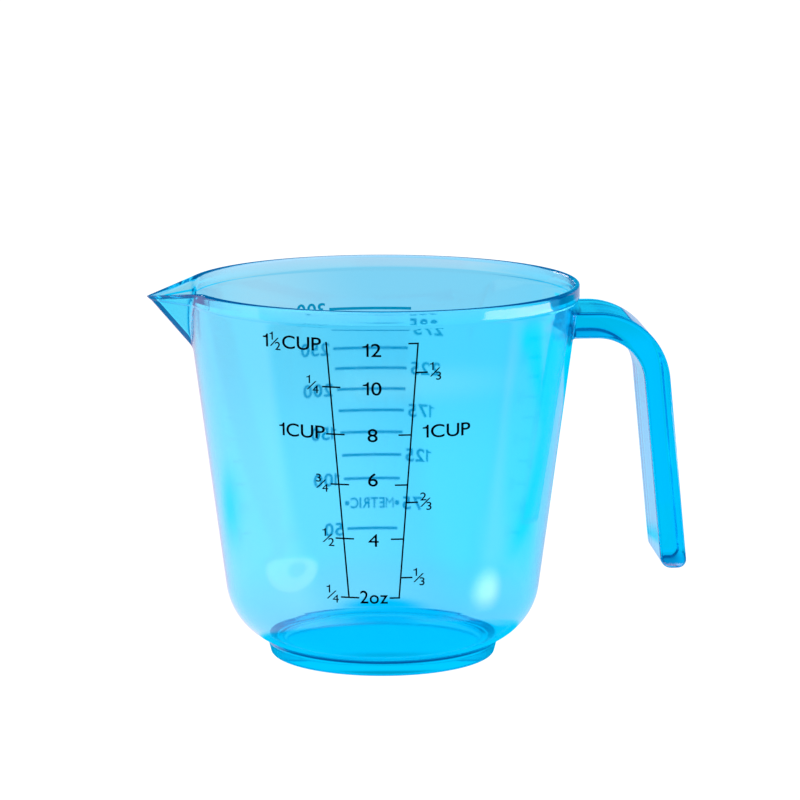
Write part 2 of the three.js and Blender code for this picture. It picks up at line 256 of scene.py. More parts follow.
class Bowl:
    """Radii of the bowl, the rim band and the spout, round the cup's axis."""

    KEEL_ROUND = 0.002  # bluntness of the keel, as the sine of a turn
    CREASE = 0.6 * MM  # fillet where the spout leaves the bowl
    TURN_LIMIT = math.radians(32)  # the spout's planes aren't followed past this turn
    LIP_BLEND = 0.1  # share of the spout's edge over which the lip bends down

    def __init__(self, s):
        self.s = s
        self.flare = math.tan(s.wall_flare)
        self.slant = 1 / math.cos(s.wall_flare)
        proud = s.band_radius - s.wall_top_radius
        self.tip = np.array([-(s.spout_reach - proud), 0, s.rim_height - s.spout_drop])
        keel_z = s.rim_height - s.spout_depth
        keel = np.array([-self.wall(keel_z), 0, keel_z])
        turn = s.spout_half_angle
        self.corner = np.array([
            proud - s.band_radius * math.cos(turn),
            s.band_radius * math.sin(turn),
            s.rim_height,
        ])
        normal = np.cross(self.corner - self.tip, keel - self.tip)
        self.normal = normal / np.linalg.norm(normal)
        if self.normal[0] > 0:
            self.normal = -self.normal
        self.face = self.normal @ self.tip
        self.lip_face = self.face + proud * abs(self.normal[0])
        self.inner_face = self.face - s.spout_thickness

    def wall(self, z):
        return self.s.wall_top_radius - self.flare * (self.s.band_bottom - z)

    def inner_wall(self, z):
        return self.wall(z) - self.s.wall_thickness * self.slant

    def inner_corner(self):
        """Radius of the round between the inner wall and the floor, and its centre's radius and height."""
        s = self.s
        radius = s.corner_radius - s.wall_thickness
        z = s.foot_height + s.floor_thickness + radius
        return radius, self.inner_wall(z) - radius * self.slant, z

    def wedge(self, phi, z, face):
        """Radius of the spout's two sloping sides, at a turn from the spout's middle."""
        turn = np.clip(phi, -self.TURN_LIMIT, self.TURN_LIMIT)
        across = np.sqrt(np.sin(turn) ** 2 + self.KEEL_ROUND ** 2)
        return (face - self.normal[2] * z) / (-self.normal[0] * np.cos(turn) + self.normal[1] * across)

    def outside(self, phi, z):
        return smooth_max(self.wall(z), self.wedge(phi, z, self.face), self.CREASE)

    def band(self, phi, z):
        return smooth_max(self.s.band_radius + 0 * z, self.wedge(phi, z, self.lip_face), self.CREASE)

    def inside(self, phi, z):
        s = self.s
        low = self.inner_wall(s.band_bottom)
        thinning = (s.band_radius - s.lip_thickness - low) / (s.rim_height - s.band_bottom)
        inner = np.where(z < s.band_bottom, self.inner_wall(z), low + thinning * (z - s.band_bottom))
        return smooth_max(inner, self.wedge(phi, z, self.inner_face), self.CREASE)

    def top(self, phi):
        """Height of the lip, which falls along the spout's edges from the rim to the tip."""
        edge_x, edge_y = -self.corner[0], self.corner[1]
        slope = np.tan(np.clip(np.abs(phi), 0, self.TURN_LIMIT))
        share = (edge_y - slope * edge_x) / (edge_y + slope * (-self.tip[0] - edge_x))
        return self.s.rim_height - self.s.spout_drop * smooth_max(share, 0 * share, self.LIP_BLEND)


def column_turns():
    """Turns round the axis from the spout's middle, closer together across the spout."""
    spout_edge, fine, coarse, slack = 26.0, 0.4, 2.0, 1e-6
    fine_turns = np.arange(-spout_edge, spout_edge, fine)
    coarse_turns = np.arange(spout_edge, 360 - spout_edge - slack, coarse)
    return np.radians(np.concatenate([fine_turns, coarse_turns]))


def from_spout(turns):
    """Turns as the shorter way round from the spout's middle."""
    return (turns + math.pi) % (2 * math.pi) - math.pi


def spaced(start, end, gap):
    """Heights or radii from start to just before end, about a gap apart."""
    count = max(1, round(abs(end - start) / gap))
    return [start + (end - start) * k / count for k in range(count)]


# How finely the bowl's skin is divided
ARC_STEPS, LIP_STEPS = 24, 6
WALL_GAP, FINE_GAP, FLOOR_GAP = 5 * MM, 0.4 * MM, 4 * MM
RAMP_SHARE, BAND_SHARE = 0.125, 0.2
BELOW_SPOUT = 3.6 * MM

# Small rounds of the foot ring, from the recess out and up
RECESS_ROUND, INNER_EDGE_ROUND, OUTER_EDGE_ROUND = 0.25 * MM, 0.4 * MM, 0.7 * MM
SHOULDER_ROUND, NECK_ROUND = 0.8 * MM, 0.3 * MM

# Share of the lip's round that is lost on the way to the spout's tip
TIP_SHARPENING = 0.55


def lower_outside(s, bowl, fine_z):
    """Radii and heights from the middle of the underside, round the foot ring and up the wall."""
    foot_low = s.foot_radius - s.foot_taper
    foot_in = foot_low - s.foot_width
    corner_z = s.foot_height + s.corner_radius
    corner_r = bowl.wall(corner_z) - s.corner_radius * bowl.slant
    neck = math.asin((s.foot_radius - corner_r) / s.corner_radius)
    neck_z = corner_z - s.corner_radius * math.cos(neck)
    arc_end = math.pi / 2 - s.wall_flare
    arc = [neck + (arc_end - neck) * k / ARC_STEPS for k in range(1, ARC_STEPS + 1)]
    corner = [
        (corner_r + s.corner_radius * math.sin(a), corner_z - s.corner_radius * math.cos(a), 0) for a in arc
    ]
    recess = [(r, s.foot_height, 0) for r in spaced(FLOOR_GAP, foot_in, FLOOR_GAP)]
    foot = [
        (foot_in, s.foot_height, RECESS_ROUND),
        (foot_in, 0, INNER_EDGE_ROUND),
        (foot_low, 0, OUTER_EDGE_ROUND),
        (s.foot_radius, s.foot_height, SHOULDER_ROUND),
        (s.foot_radius, neck_z, NECK_ROUND),
    ]
    line = braced(rounded_line(recess + foot + corner))
    wall_start = corner[-1][1]
    return line + [(bowl.wall(z), z) for z in spaced(wall_start, fine_z, WALL_GAP)[1:]]


def upper_rings(s, bowl, phi, fine_z):
    """Rings up the finely divided wall with the spout, up the band, over the lip and down inside."""
    one = np.ones_like(phi)
    rings = [(bowl.outside(phi, one * z), one * z) for z in spaced(fine_z, s.band_bottom, FINE_GAP)]
    for share in spaced(0.0, 1.0, RAMP_SHARE):
        z = one * (s.band_bottom + s.band_ramp * share)
        proud = share * share * (3 - 2 * share)
        rings.append((bowl.outside(phi, z) * (1 - proud) + bowl.band(phi, z) * proud, z))
    top = bowl.top(phi)
    lip = s.lip_round * (1 - TIP_SHARPENING * (s.rim_height - top) / s.spout_drop)
    band_top = top - lip
    ramp_top = s.band_bottom + s.band_ramp
    for share in spaced(0.0, 1.0, BAND_SHARE):
        z = ramp_top + (band_top - ramp_top) * share
        rings.append((bowl.band(phi, z), z))
    turns = [math.pi / 2 * k / LIP_STEPS for k in range(LIP_STEPS + 1)]
    for a in turns:
        z = band_top + lip * math.sin(a)
        rings.append((bowl.band(phi, z) - lip * (1 - math.cos(a)), z))
    for a in reversed(turns):
        z = band_top + lip * math.sin(a)
        rings.append((bowl.inside(phi, z) + lip * (1 - math.cos(a)), z))
    for share in spaced(0.0, 1.0, FINE_GAP / (s.rim_height - fine_z))[1:]:
        z = band_top + (fine_z - band_top) * share
        rings.append((bowl.inside(phi, z), z))
    return rings


def lower_inside(s, bowl, fine_z):
    """Radii and heights down the inside of the wall, round the corner and in to the middle of the floor."""
    radius, corner_r, corner_z = bowl.inner_corner()
    arc_end = math.pi / 2 - s.wall_flare
    wall_end = corner_z - radius * math.cos(arc_end)
    line = [(bowl.inner_wall(z), z) for z in spaced(fine_z, wall_end, WALL_GAP)]
    for k in range(ARC_STEPS + 1):
        a = arc_end * (1 - k / ARC_STEPS)
        line.append((corner_r + radius * math.sin(a), corner_z - radius * math.cos(a)))
    floor_top = s.foot_height + s.floor_thickness
    return line + [(r, floor_top) for r in spaced(corner_r, 0, FLOOR_GAP)[1:]]


def bowl_rows(s, phi):
    """Rings of the bowl's skin, from the middle of the underside out, up, over the lip and in again.

    Each ring is a radius and a height at every turn. Also gives the first ring of the finely
    divided wall, where the handle joins on.
    """
    bowl = Bowl(s)
    one = np.ones_like(phi)
    fine_z = s.rim_height - s.spout_depth - BELOW_SPOUT
    outside = [(one * r, one * z) for r, z in lower_outside(s, bowl, fine_z)]
    inside = [(one * r, one * z) for r, z in lower_inside(s, bowl, fine_z)]
    return outside + upper_rings(s, bowl, phi, fine_z) + inside, len(outside)


def section_ring(half_width, half_thickness, edge_round, across, side):
    """The bar's section as a ring of (width, thickness), with the given divisions across and up a side."""
    arc = 6
    flat = side - 2 * arc
    w, t = half_width - edge_round, half_thickness - edge_round
    quarter = [math.pi / 2 * k / arc for k in range(arc)]
    ring = [(-w + 2 * w * k / across, -half_thickness) for k in range(across)]
    ring += [(w + edge_round * math.sin(a), -t - edge_round * math.cos(a)) for a in quarter]
    ring += [(half_width, -t + 2 * t * k / flat) for k in range(flat)]
    ring += [(w + edge_round * math.cos(a), t + edge_round * math.sin(a)) for a in quarter]
    opposite = [(-x, -y) for x, y in ring]
    return np.array(ring + opposite)


def handle_rings(s, across, side):
    """Rings of the handle's skin, from its fillet on the wall to the round at its lower end."""
    bowl = Bowl(s)
    half_w, half_t = s.handle_width / 2, s.handle_thickness / 2
    under = s.handle_top - s.handle_thickness
    bend_z = under - s.handle_bend
    lean = math.tan(s.handle_lean)
    stretch = math.hypot(1, lean)
    bend_x = bowl.wall(bend_z) + s.finger_gap - s.handle_bend * stretch
    middle_bend = s.handle_bend + half_t
    arm_z = bend_z + middle_bend
    rings = []

    def section(grow=0.0, trim_w=0.0, trim_t=0.0, edge=s.handle_edge_round):
        return section_ring(half_w + grow - trim_w, half_t + grow - trim_t, edge + grow, across, side)

    def on_wall(ring):
        z = arm_z + ring[:, 1]
        return np.sqrt(bowl.wall(z) ** 2 - ring[:, 0] ** 2)

    fillet_steps, arm_steps, bend_steps, grip_steps, end_steps = 6, 4, 28, 12, 6
    for k in range(fillet_steps + 1):
        a = math.pi / 2 * k / fillet_steps
        ring = section(grow=s.handle_root_fillet * (1 - math.sin(a)))
        x = on_wall(ring) + s.handle_root_fillet * (1 - math.cos(a))
        rings.append(np.column_stack([x, ring[:, 0], arm_z + ring[:, 1]]))
    root_x = rings[-1][:, 0]
    ring = section()
    for k in range(1, arm_steps + 1):
        x = root_x + (bend_x - root_x) * k / arm_steps
        rings.append(np.column_stack([x, ring[:, 0], arm_z + ring[:, 1]]))
    bend_turn = math.pi / 2 - s.handle_lean
    for k in range(1, bend_steps + 1):
        a = math.pi / 2 - bend_turn * k / bend_steps
        reach = middle_bend + ring[:, 1]
        rings.append(np.column_stack([
            bend_x + reach * math.cos(a),
            ring[:, 0],
            bend_z + reach * math.sin(a),
        ]))
    out = np.array([1, lean]) / stretch
    start = np.array([bend_x, bend_z]) + middle_bend * out
    end_z = s.handle_end + s.handle_end_round
    for k in range(1, grip_steps + 1):
        share = k / grip_steps
        z = start[1] + (end_z - start[1]) * share
        x = start[0] + lean * (start[1] - z)
        level = out * (1 - share) + np.array([stretch, 0]) * share
        rings.append(np.column_stack([x + ring[:, 1] * level[0], ring[:, 0], z + ring[:, 1] * level[1]]))
    edge_loss, cap_share = 0.5, 0.93
    for k in range(1, end_steps + 1):
        a = math.pi / 2 * k / end_steps
        inset = 1 - math.cos(a)
        z = end_z - s.handle_end_round * math.sin(a)
        x = start[0] + lean * (start[1] - z)
        edge = s.handle_edge_round * (1 - edge_loss * inset)
        ring = section(trim_w=s.handle_edge_round * inset, trim_t=s.handle_end_round * inset, edge=edge)
        rings.append(np.column_stack([x + ring[:, 1] * stretch, ring[:, 0], np.full(len(ring), z)]))
    last = rings[-1]
    rings.append(last.mean(0) + (last - last.mean(0)) * cap_share)
    return rings


def handle_opening(s, phi, rows, first_fine):
    """First and last rows, then columns, of the opening in the wall's grid for the handle's root."""
    half_turn, slack = math.radians(20), 1e-6
    columns = np.flatnonzero(np.abs(phi - math.pi) < half_turn + slack)
    margin, headroom = s.handle_root_fillet + 0.5 * MM, 0.2 * MM
    lowest = s.handle_top - s.handle_thickness - 2 * margin
    highest = s.handle_top + margin + headroom
    heights = np.array([z[columns[0]] for _, z in rows[first_fine:]])
    beside_handle = np.flatnonzero((heights > lowest) & (heights < highest))
    rows_under_band = round((s.band_bottom - heights[0]) / (heights[1] - heights[0]))
    opened = first_fine + beside_handle[beside_handle < rows_under_band]
    return opened[0], opened[-1], columns[0], columns[-1]


def moulding_mesh(s):
    """Vertices and faces of the whole moulding, with the handle let into the wall."""
    phi = column_turns()
    rows, first_fine = bowl_rows(s, from_spout(phi))
    n_rows, n_cols = len(rows), len(phi)
    grid = np.array([np.column_stack([-r * np.cos(phi), -r * np.sin(phi), z]) for r, z in rows])
    vertices = [*grid.reshape(-1, 3)]
    low, high, left, right = handle_opening(s, phi, rows, first_fine)

    def at(row, column):
        return row * n_cols + column % n_cols

    faces = []
    for row in range(n_rows - 1):
        for column in range(n_cols):
            if low <= row < high and left <= column < right:
                continue
            faces.append((at(row, column), at(row, column + 1), at(row + 1, column + 1), at(row + 1, column)))
    for row, (_, heights) in ((0, rows[0]), (n_rows - 1, rows[-1])):
        pole = len(vertices)
        vertices.append(np.array([0, 0, heights[0]]))
        for column in range(n_cols):
            edge = (at(row, column), at(row, column + 1))
            faces.append((pole, *(edge if row else edge[::-1])))

    loop = [at(low, c) for c in range(left, right)]
    loop += [at(r, right) for r in range(low, high)]
    loop += [at(high, c) for c in range(right, left, -1)]
    loop += [at(r, left) for r in range(high, low, -1)]
    for ring in handle_rings(s, right - left, high - low):
        next_loop = list(range(len(vertices), len(vertices) + len(ring)))
        vertices.extend(ring)
        for k in range(len(ring)):
            m = (k + 1) % len(ring)
            faces.append((loop[k], loop[m], next_loop[m], next_loop[k]))
        loop = next_loop
    faces.append(tuple(loop))
    return np.array(vertices) + np.array([AXIS_X, 0, 0]), faces


def clear_plastic(finish):
    """Clear tinted SAN, injection moulded in a polished tool.

    It gives a hard even gloss and a colour that deepens with the thickness in sight; its edges stay
    blue through a faint painted glow that the plastic gives off at every face.
    """
    material = new_material("Moulded_clear_SAN")
    tree = material.node_tree
    place = add_node(tree, "ShaderNodeTexCoord")
    flow_mm, haze_mm = 9.0, 2.5
    flow = add_node(
        tree, "ShaderNodeTexNoise", inputs={"Scale": 1000 / flow_mm, "Detail": 1.0},
        links={"Vector": place.outputs["Object"]})
    ripple = add_node(
        tree, "ShaderNodeBump", inputs={"Strength": 0.012, "Distance": 0.2 * MM},
        links={"Height": flow.outputs["Fac"]})
    haze = add_node(
        tree, "ShaderNodeTexNoise", inputs={"Scale": 1000 / haze_mm, "Detail": 3.0},
        links={"Vector": place.outputs["Object"]})
    gloss = add_node(
        tree, "ShaderNodeMapRange",
        inputs={"From Min": 0.3, "From Max": 0.8, "To Min": 0.03, "To Max": 0.06},
        links={"Value": haze.outputs["Fac"]})
    shader = add_node(
        tree, "ShaderNodeBsdfPrincipled",
        inputs={
            "Base Color": (1, 1, 1, 1),
            "IOR": finish.plastic_ior,
            "Transmission Weight": 1.0,
            # Painted glow: a faint blue light given off at every face.
            "Emission Color": (*linear(finish.glow_colour), 1),
            "Emission Strength": finish.plastic_glow,
        },
        links={"Roughness": gloss.outputs["Result"], "Normal": ripple.outputs["Normal"]})
    tint = add_node(
        tree, "ShaderNodeVolumeAbsorption",
        inputs={"Color": (*linear(finish.plastic_tint), 1), "Density": finish.plastic_density})
    add_node(
        tree, "ShaderNodeOutputMaterial",
        links={"Surface": shader.outputs["BSDF"], "Volume": tint.outputs["Volume"]})
    material.cycles.emission_sampling = "NONE"
    return material


class MOULDING_OT_build(bpy.types.Operator):
    """Build the cup's moulding: bowl, rim band, spout, handle and foot ring in one skin"""

    bl_idname = "cup.build_moulding"
    bl_label = "Build moulding"

    def execute(self, context):
        vertices, faces = moulding_mesh(context.scene.cup_sizes)
        material = clear_plastic(context.scene.cup_finish)
        cup = new_piece("moulded_cup", vertices, faces, material)
        cup.data.shade_smooth()
        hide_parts(*MOULDED_NODES)
        return {"FINISHED"}


# Printed scales

def pad_ink(name, hex_colour, sheer):
    """Pad-printed ink: a thin matte film, a little uneven where the pad lifted, and more or less sheer."""
    material = new_material(name)
    tree = material.node_tree
    place = add_node(tree, "ShaderNodeTexCoord")
    mottle_mm, thinning, lift = 0.6, 1.25, 0.002
    mottle = add_node(
        tree, "ShaderNodeTexNoise", inputs={"Scale": 1000 / mottle_mm, "Detail": 2.0},
        links={"Vector": place.outputs["Object"]})
    colour = add_node(tree, "ShaderNodeValToRGB", links={"Fac": mottle.outputs["Fac"]})
    thick = linear(hex_colour)
    thin = [min(1, c * thinning + lift) for c in thick]
    for stop, shade in zip(colour.color_ramp.elements, (thick, thin)):
        stop.color = (*shade, 1)
    shader = add_node(
        tree, "ShaderNodeBsdfPrincipled",
        inputs={"Roughness": 0.6, "Specular IOR Level": 0.15, "Transmission Weight": sheer, "IOR": 1.2},
        links={"Base Color": colour.outputs["Color"]})
    add_node(tree, "ShaderNodeOutputMaterial", links={"Surface": shader.outputs["BSDF"]})
    return material


class Typeface:
    """The built-in letters made wider and bolder, with a flagged figure one, fractions and a dot."""

    CAPITAL = 0.69
    ONE = ((0.27, 0), (0.37, 0), (0.37, 0.69), (0.295, 0.69), (0.265, 0.61), (0.2, 0.57), (0.1, 0.555),
           (0.1, 0.485), (0.27, 0.485))
    UNWEIGHTED = "4M"  # letters whose outlines would cross if they were made bolder
    FRACTIONS = {"½": "12", "¼": "14", "¾": "34", "⅓": "13", "⅔": "23"}

    def __init__(self, width, weight, gap):
        self.width, self.weight, self.gap = width, weight, gap

    def glyph(self, letter):
        """A letter's points and faces, in letter heights, with its left side and its foot at 0."""
        if letter == "•":
            return self.dot()
        if letter == "1":
            points, faces = np.array(self.ONE), [tuple(range(len(self.ONE)))]
        else:
            text = bpy.data.curves.new("letter", "FONT")
            text.body = letter
            text.offset = 0 if letter in self.UNWEIGHTED else self.weight
            carrier = bpy.data.objects.new("letter", text)
            bpy.context.scene.collection.objects.link(carrier)
            shape = carrier.evaluated_get(bpy.context.evaluated_depsgraph_get()).to_mesh()
            points = np.array([v.co[:2] for v in shape.vertices])
            faces = [tuple(face.vertices) for face in shape.polygons]
            bpy.data.objects.remove(carrier)
            bpy.data.curves.remove(text)
        points = (points - [points[:, 0].min(), 0]) * [self.width, 1]
        return points / self.CAPITAL, faces

    def dot(self):
        """A round dot about the middle of a letter's height."""
        radius, sides = 0.24, 18
        turns = np.radians(np.arange(sides) * 360 / sides)
        points = np.column_stack([np.cos(turns) + 1, np.sin(turns) + 0.5 / radius]) * radius
        return points, [tuple(range(sides))]

    def fraction(self, figures):
        """Two small figures and the stroke between them, about the middle of a letter's height."""
        small, rise, step, stroke = 0.62, 0.07, 0.47, 0.12
        low, high, reach = -0.42, 0.25, 0.8
        over, under = (self.glyph(figure) for figure in figures)
        slash = np.array([(0, low), (stroke, low), (reach, high), (reach - stroke, high)])
        return [
            (over[0] * small + [0, rise], over[1]),
            (slash, [(0, 1, 2, 3)]),
            (under[0] * small + [step, -rise - small], under[1]),
        ]

    def compose(self, text):
        """Placed glyphs of a label, in letter heights about the middle of its height, and its width."""
        placed, x = [], 0.0
        for letter in text:
            if letter in self.FRACTIONS:
                parts = self.fraction(self.FRACTIONS[letter])
            else:
                points, faces = self.glyph(letter)
                parts = [(points - [0, 0.5], faces)]
            placed += [(points + [x, 0], faces) for points, faces in parts]
            x = max(points[:, 0].max() for points, _ in placed) + self.gap
        return placed, x - self.gap


def film_of(points, faces):
    """A flat shape becomes a closed film: points as (across, up, depth from 0 to 1) and its faces."""
    count = len(points)
    edges = {(face[k - 1], face[k]) for face in faces for k in range(len(face))}
    rim = [edge for edge in edges if edge[::-1] not in edges]
    solid = [tuple(i + count for i in face) for face in faces]
    solid += [tuple(reversed(face)) for face in faces]
    solid += [(a, b, b + count, a + count) for a, b in rim]
    deep = np.vstack([np.column_stack([points, np.full(count, depth)]) for depth in (0, 1)])
    return deep, solid


class Print:
    """Collects the labels of one scale, wrapped onto the wall about the scale's middle line."""

    def __init__(self, cup, sizes, turn):
        self.bowl, self.sizes, self.turn = Bowl(cup), sizes, turn
        self.vertices, self.faces = [], []

    def add(self, typeface, text, across, up, align, height):
        placed, width = typeface.compose(text)
        start = across - {"left": 0, "middle": 0.5, "right": 1}[align] * width * height
        for points, faces in placed:
            flat, solid = film_of(points * height + [start, up], faces)
            radius = self.bowl.wall(flat[:, 1])
            angles = self.turn + flat[:, 0] / radius
            reach = radius + self.sizes.film_gap + self.sizes.film * flat[:, 2]
            first = len(self.vertices)
            self.vertices.extend(np.column_stack([
                AXIS_X + reach * np.cos(angles), reach * np.sin(angles), flat[:, 1]]))
            self.faces.extend(tuple(i + first for i in face) for face in solid)


LOW_OUNCES, TOP_OUNCES = 2, 12
OUNCE_ML = 29.5735


def fill_height(cup, share):
    """Height at which the cup holds a share of what it holds at its highest mark."""
    bowl = Bowl(cup)
    radius, corner_r, corner_z = bowl.inner_corner()
    floor_top, highest_mark, samples = corner_z - radius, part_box("ounce_line_left")[1].z, 4000
    heights = np.linspace(floor_top, highest_mark, samples)
    below = corner_z - heights
    wall_below = radius * math.sin(cup.wall_flare)
    in_corner = corner_r + np.sqrt(radius ** 2 - np.clip(below, wall_below, radius) ** 2)
    radii = np.where(below > wall_below, in_corner, bowl.inner_wall(heights))
    held = np.cumsum(radii ** 2)
    return float(np.interp(share * held[-1], held, heights))


class PRINT_OT_ounce_figures(bpy.types.Operator):
    """Print the figures and words of the ounce scale on the front of the wall"""

    bl_idname = "cup.print_ounces"
    bl_label = "Print ounce figures"

    # Middle of the scale to its side lines at the lowest and the highest mark, in millimetres.
    LINE_LOW, LINE_HIGH = 5.7, 10.3
    # Text and its mark in ounces, then in millimetres how far it sits out from the side line, where it
    # isn't in the middle, and how far above its mark.
    MIDDLE = (
        ("12", 12, -1.7), ("10", 10, -0.3), ("8", 8, -0.2), ("6", 6, 1.2), ("4", 4, -0.3), ("2oz", 2, 0.2))
    LEFT = (
        ("1½CUP", 12, 1.2, -0.6), ("¼", 10, 2.7, 0.3), ("1CUP", 8, 2.2, 0.2), ("¾", 6, 2.5, 0.1),
        ("½", 4, 2.2, 0.1), ("¼", 2, 2.4, 0.7))
    RIGHT = (
        ("⅓", 32 / 3, 3.2, 0.1), ("1CUP", 8, 2.6, 0.6), ("⅔", 16 / 3, 3.2, 0.1), ("⅓", 8 / 3, 2.9, 0.1))

    def execute(self, context):
        cup, sizes = context.scene.cup_sizes, context.scene.cup_print
        plain = Typeface(width=1.17, weight=0.006, gap=0.17)
        slim = Typeface(width=0.97, weight=0.006, gap=0.1)
        scale = Print(cup, sizes, -math.pi / 2 - sizes.ounce_turn)
        low, high = fill_height(cup, LOW_OUNCES / TOP_OUNCES), fill_height(cup, 1)
        labels = [(text, ounces, 0, lift, "middle") for text, ounces, lift in self.MIDDLE]
        labels += [(*label, "right") for label in self.LEFT]
        labels += [(*label, "left") for label in self.RIGHT]
        for text, ounces, out, lift, align in labels:
            z = fill_height(cup, ounces / TOP_OUNCES)
            line = np.interp(z, (low, high), (self.LINE_LOW, self.LINE_HIGH))
            side = {"right": -1, "middle": 0, "left": 1}[align]
            letters = slim if text.endswith("oz") else plain
            scale.add(letters, text, side * (line + out) * MM, z + lift * MM, align, sizes.letter_height)
        ink = bpy.data.materials["Pad_print_black"]
        new_piece("ounce_figures", scale.vertices, scale.faces, ink)
        return {"FINISHED"}


class PRINT_OT_metric_figures(bpy.types.Operator):
    """Print the figures and the word of the metric scale on the back of the wall"""

    bl_idname = "cup.print_metric"
    bl_label = "Print metric figures"

    # The word stands in place of the bar at this mark, and reaches this far from the middle.
    WORD_ML = 75
    WORD_HALF = 6.6 * MM

    def execute(self, context):
        cup, sizes = context.scene.cup_sizes, context.scene.cup_print
        bold = Typeface(width=1.14, weight=0.02, gap=0.14)
        narrow = Typeface(width=0.86, weight=0.02, gap=0.11)
        scale = Print(cup, sizes, math.pi / 2)
        bars = {int(name[-3:]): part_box(name) for name in METRIC_NODES}
        places = {ml: ((low.z + high.z) / 2, (high.x - low.x) / 2) for ml, (low, high) in bars.items()}
        first, top_ml = min(places), TOP_OUNCES * OUNCE_ML
        lift = places[first][0] - fill_height(cup, first / top_ml)
        word_z = fill_height(cup, self.WORD_ML / top_ml) + lift
        scale.add(narrow, "•METRIC•", 0, word_z, "middle", sizes.word_height)
        places[self.WORD_ML] = (word_z, self.WORD_HALF)
        for ml, (z, half) in places.items():
            out = half + sizes.metric_gap
            across, align = (out, "left") if ml % 50 == 0 else (-out, "right")
            scale.add(bold, str(ml), across, z, align, sizes.letter_height)
        ink = bpy.data.materials["Pad_print_blue"]
        new_piece("metric_figures", scale.vertices, scale.faces, ink)
        return {"FINISHED"}


class PRINT_OT_ink_lines(bpy.types.Operator):
    """Give the printed lines and bars their inks"""

    bl_idname = "cup.ink_lines"
    bl_label = "Ink the scale lines"

    def execute(self, context):
        finish = context.scene.cup_finish
        inks = (
            (OUNCE_NODES, pad_ink("Pad_print_black", finish.ounce_ink, sheer=0.0)),
            (METRIC_NODES, pad_ink("Pad_print_blue", finish.metric_ink, sheer=0.9)),
        )
        for names, ink in inks:
            for name in names:
                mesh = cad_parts[name].data
                mesh.materials.clear()
                mesh.materials.append(ink)
        return {"FINISHED"}


# Stage

class STAGE_OT_build(bpy.types.Operator):
    """Build the table, the lights and the camera"""

    bl_idname = "cup.build_stage"
    bl_label = "Build stage"

    def execute(self, context):
        stage = context.scene.cup_stage
        build_table(stage)
        build_lights(stage)
        build_camera(stage)
        return {"FINISHED"}


def add_sheet(name, z, material):
    """A wide level sheet of the stage."""
    half = 6.0
    corners = [(-half, -half, z), (half, -half, z), (half, half, z), (-half, half, z)]
    mesh = bpy.data.meshes.new(name)
    mesh.from_pydata(corners, [], [(0, 1, 2, 3)])
    mesh.materials.append(material)
    sheet = bpy.data.objects.new(name, mesh)
    bpy.context.scene.collection.objects.link(sheet)
    return sheet


def glowing(name, strength):
    """A material that only gives light, and its emission node."""
    material = new_material(name)
    glow = add_node(material.node_tree, "ShaderNodeEmission", inputs={"Strength": strength})
    add_node(material.node_tree, "ShaderNodeOutputMaterial", links={"Surface": glow.outputs["Emission"]})
    return material, glow


class Edge(NamedTuple):
    """A field past a soft straight edge, where a weighed sum of x and y goes from start to end."""

    weigh_x: float
    weigh_y: float
    start: float
    end: float


class Oval(NamedTuple):
    """A field inside an oval, with a border that is soft for a share of the way in, turned by degrees."""

    x: float
    y: float
    half_width: float
    half_depth: float
    soft: float
    turn: float = 0.0


class Joined(NamedTuple):
    """Fields taken together: MULTIPLY or MINIMUM for where all of them lie, MAXIMUM for where any does."""

    operation: str
    fields: tuple


class Layer(NamedTuple):
    """A colour of light laid over a field."""

    field: tuple
    hex_colour: str
    gain: float = 1.0
    blend: str = "MIX"


# Fields of the table's painted light and shade, in metres from the part's origin
# Painted shade: dimmer, tinted light far behind the cup and on the handle's side.
BACK = Edge(0, 1, 0.20, 0.42)
HANDLE_HALF = Edge(1, 0, -0.03, 0.03)
PALE_BACK = Oval(0.025, 0.368, 0.080, 0.050, soft=1.0)
# Painted shadow and shade: the tinted light that the cup, its spout and its handle throw, and dim light ahead
# of the cup and far to its right.
PAST_HANDLE = Joined("MAXIMUM", (Edge(1, -0.35, -0.004, 0.008), Edge(1, 0, 0.084, 0.096)))
ROUND_GAP = Joined("MAXIMUM", (Edge(-1, 0.5, 0.0, 0.01), Edge(0.5, 1, 0.32, 0.345)))
THROWN = Joined("MULTIPLY", (PAST_HANDLE, ROUND_GAP, Edge(0, 1, 0.06, 0.13), Edge(0, -1, -0.50, -0.44)))
BEHIND_SPOUT = Oval(-0.132, 0.066, 0.050, 0.060, soft=1.0)
AHEAD = Joined("MINIMUM", (Edge(0.15, -1, 0.03, 0.06), Edge(-0.15, -1, 0.03, 0.06)))
AHEAD_RIGHT = Joined("MULTIPLY", (AHEAD, Edge(1, 0, 0.02, 0.06)))
FAR_RIGHT = Edge(1, 0, 0.5, 0.7)
BESIDE_HANDLE = Oval(0.19, 0.01, 0.13, 0.075, soft=0.4)
# Painted pools of light, which the plastic mirrors as a bright spot and a window-like highlight.
RIGHT_SPOT = Oval(0.061, -0.038, 0.022, 0.015, soft=0.9, turn=40)
LEFT_PATCH = Oval(-0.0845, -0.0425, 0.0105, 0.032, soft=0.15, turn=27)
PATCH_MIDDLE = Oval(-0.083, -0.051, 0.005, 0.012, soft=0.3, turn=27)
# Painted tinted shadow under the cup and behind its foot, darker under the front of the foot ring.
UNDER_CUP = Oval(AXIS_X + 0.004, -0.014, 0.040, 0.045, soft=0.08)
BEHIND_FOOT = Oval(AXIS_X + 0.003, 0.040, 0.014, 0.018, soft=0.6)
FOOT_FRONT = Oval(AXIS_X, -0.0150, 0.020, 0.0095, soft=0.8)


